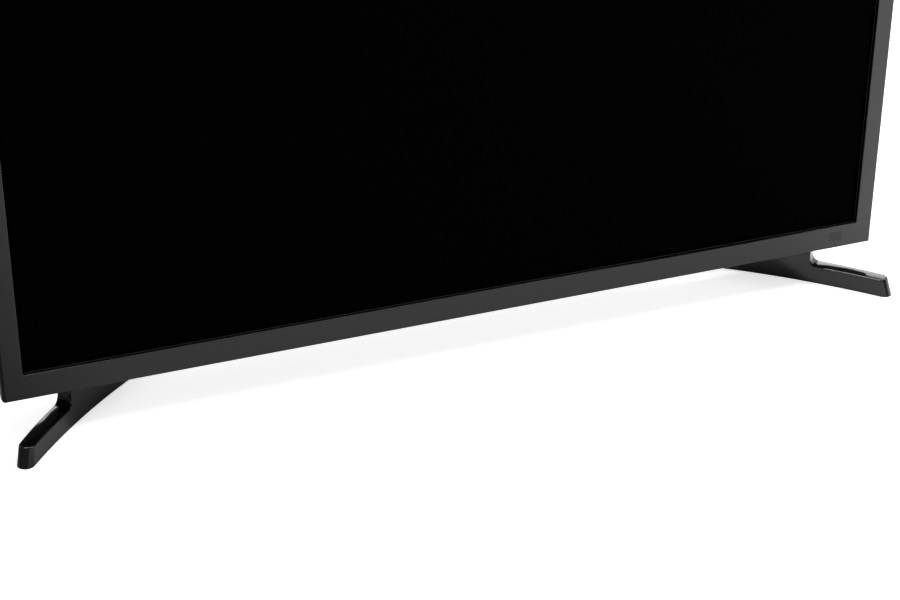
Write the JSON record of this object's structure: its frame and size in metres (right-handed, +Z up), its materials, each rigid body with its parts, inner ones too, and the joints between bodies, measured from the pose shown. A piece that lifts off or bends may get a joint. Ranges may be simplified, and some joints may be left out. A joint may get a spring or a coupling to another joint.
{
  "type": "flat screen television",
  "caption": "Flat screen television with a glossy black bezel, a stepped moulded back with socket recesses and wall mount threads, and two bowed feet.",
  "frame": {"origin": "on the table, under the middle of the stand's width and depth", "axes": "+X to the viewer's right along the screen, +Y from the screen to the back, +Z up"},
  "size_m": [0.738, 0.1514, 0.4715],
  "materials": {
    "bezel_gloss_black": "polished moulded ABS",
    "window_tint": "dark infrared-clear acrylic",
    "circuit_board": "glass-epoxy with solder mask",
    "foam": "closed-cell foam",
    "panel_glass": "satin front polariser, dark when off",
    "flex_amber": "polyimide film",
    "frame_black": "moulded polycarbonate",
    "sheet_white": "milky film and foamed sheet",
    "galvanised_steel": "pressed galvanised sheet",
    "lamp_board": "aluminium board with white mask",
    "lamp_phosphor": "phosphor in silicone",
    "lens_acrylic": "clear acrylic",
    "chip_epoxy": "moulded epoxy",
    "sink_aluminium": "extruded",
    "socket_metal": "nickel plated steel",
    "jack_black": "moulded nylon",
    "transformer_tape": "polyester tape over ferrite",
    "capacitor_sleeve": "shrunk sleeve",
    "choke_winding": "enamelled copper on ferrite",
    "pin_brass": "nickel plated brass",
    "screw_steel": "black zinc plated",
    "cable_grey": "flat ribbon",
    "lead_black": "sleeved leads",
    "speaker_plastic": "moulded ABS",
    "cone_paper": "pressed paper pulp",
    "soft_rubber": "matt moulded rubber",
    "magnet_ferrite": "pressed ferrite with a steel pot",
    "control_nylon": "moulded acetal",
    "control_cap": "moulded ABS",
    "cover_matte_black": "fine-textured moulded HIPS",
    "foot_gloss_black": "polished moulded ABS"
  },
  "bodies": {
    "set": {"front_bezel": "bezel_gloss_black", "ir_window": "window_tint", "sensor_board": "circuit_board", "source_board": "circuit_board", "main_board": "circuit_board", "power_board": "circuit_board", "control_board": "circuit_board", "screen_gasket": "foam", "speaker_gaskets": "foam", "lcd_panel": "panel_glass", "panel_flex_films": "flex_amber", "mid_frame": "frame_black", "optical_films": "sheet_white", "diffuser_plate": "sheet_white", "reflector_sheet": "sheet_white", "back_pan": "galvanised_steel", "stand_brackets": "galvanised_steel", "wall_mount_posts": "galvanised_steel", "led_bars": "lamp_board", "led_chips": "lamp_phosphor", "led_lenses": "lens_acrylic", "main_board_chips": "chip_epoxy", "heat_sink": "sink_aluminium", "usb_socket": "socket_metal", "hdmi_sockets": "socket_metal", "tuner": "socket_metal", "audio_jacks": "jack_black", "ac_inlet": "jack_black", "transformers": "transformer_tape", "capacitors": "capacitor_sleeve", "mains_choke": "choke_winding", "inlet_pins": "pin_brass", "board_screws": "screw_steel", "cover_screws": "screw_steel", "foot_screws": "screw_steel", "panel_ribbon_cable": "cable_grey", "power_harness": "cable_grey", "led_leads": "lead_black", "speaker_leads": "lead_black", "control_lead": "lead_black", "speaker_box_left": "speaker_plastic", "speaker_box_right": "speaker_plastic", "speaker_surround_left": "soft_rubber", "speaker_surround_right": "soft_rubber", "speaker_grommets": "soft_rubber", "foot_pads": "soft_rubber", "speaker_magnet_left": "magnet_ferrite", "speaker_magnet_right": "magnet_ferrite", "control_base": "control_nylon", "rear_cover": "cover_matte_black", "foot_left": "foot_gloss_black", "foot_right": "foot_gloss_black"},
    "control ring": {"control_ring": "control_nylon"},
    "control stem": {"control_stem": "control_nylon"},
    "control knob": {"control_knob": "control_cap"},
    "left cone": {"speaker_cone_left": "cone_paper"},
    "right cone": {"speaker_cone_right": "cone_paper"}
  },
  "joints": [
    {"name": "control side tilt", "type": "hinge", "parent": "set", "child": "control ring", "pos_m": [-0.298, 0.0094, 0.0935], "axis": [0, 0, 1], "range_deg": [-7, 7], "stiffness_Nm_per_rad": 0.1},
    {"name": "control up and down tilt", "type": "hinge", "parent": "control ring", "child": "control stem", "pos_m": [-0.298, 0.0094, 0.0935], "axis": [1, 0, 0], "range_deg": [-7, 7], "stiffness_Nm_per_rad": 0.1},
    {"name": "control press", "type": "slide", "parent": "control stem", "child": "control knob", "axis": [0, -1, 0], "range_m": [0, 0.0005], "stiffness_N_per_m": 800},
    {"name": "left cone travel", "type": "slide", "parent": "set", "child": "left cone", "axis": [0, 0, 1], "range_m": [-0.001, 0.001], "stiffness_N_per_m": 800},
    {"name": "right cone travel", "type": "slide", "parent": "set", "child": "right cone", "axis": [0, 0, 1], "range_m": [-0.001, 0.001], "stiffness_N_per_m": 800}
  ]
}
